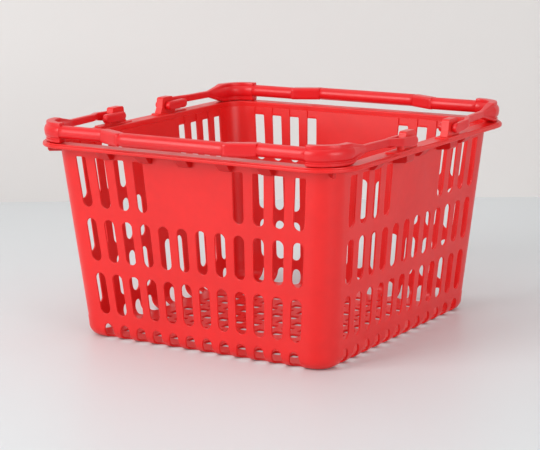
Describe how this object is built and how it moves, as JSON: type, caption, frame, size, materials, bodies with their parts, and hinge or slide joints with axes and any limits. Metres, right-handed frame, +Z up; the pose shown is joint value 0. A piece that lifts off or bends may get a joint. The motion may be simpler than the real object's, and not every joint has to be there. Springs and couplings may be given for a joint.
{
  "type": "shopping basket",
  "caption": "Tapered slotted plastic hand basket with a wide flanged rim, a lattice base and two folding bail handles that lie over the front and rear rims.",
  "frame": {"origin": "centre of the base at floor level, under the middle of the bounding box", "axes": "+Z up; +X to the right along the front side, parallel to both handle pins; +Y to the rear"},
  "size_m": [0.4642, 0.501, 0.283],
  "materials": {
    "basket": "semi-gloss moulded polypropylene, red",
    "handle": "semi-gloss moulded polypropylene, red"
  },
  "bodies": {
    "tub": {"front_wall": "basket", "rear_wall": "basket", "left_wall": "basket", "right_wall": "basket", "front_bottom_edge": "basket", "rear_bottom_edge": "basket", "left_bottom_edge": "basket", "right_bottom_edge": "basket", "front_rim": "basket", "rear_rim": "basket", "left_rim": "basket", "right_rim": "basket", "base_grille": "basket", "front_left_wall_corner": "basket", "front_left_bottom_corner": "basket", "front_left_rim_corner": "basket", "front_left_lug": "basket", "front_right_wall_corner": "basket", "front_right_bottom_corner": "basket", "front_right_rim_corner": "basket", "front_right_lug": "basket", "rear_left_wall_corner": "basket", "rear_left_bottom_corner": "basket", "rear_left_rim_corner": "basket", "rear_left_lug": "basket", "rear_right_wall_corner": "basket", "rear_right_bottom_corner": "basket", "rear_right_rim_corner": "basket", "rear_right_lug": "basket"},
    "front_bail": {"front_handle": "handle"},
    "rear_bail": {"rear_handle": "handle"}
  },
  "joints": [
    {"name": "front_handle_hinge", "type": "hinge", "parent": "tub", "child": "front_bail", "pos_m": [0, -0.058, 0.268], "axis": [-1, 0, 0], "range_deg": [0, 102]},
    {"name": "rear_handle_hinge", "type": "hinge", "parent": "tub", "child": "rear_bail", "pos_m": [0, 0.058, 0.268], "axis": [1, 0, 0], "range_deg": [0, 102]}
  ]
}
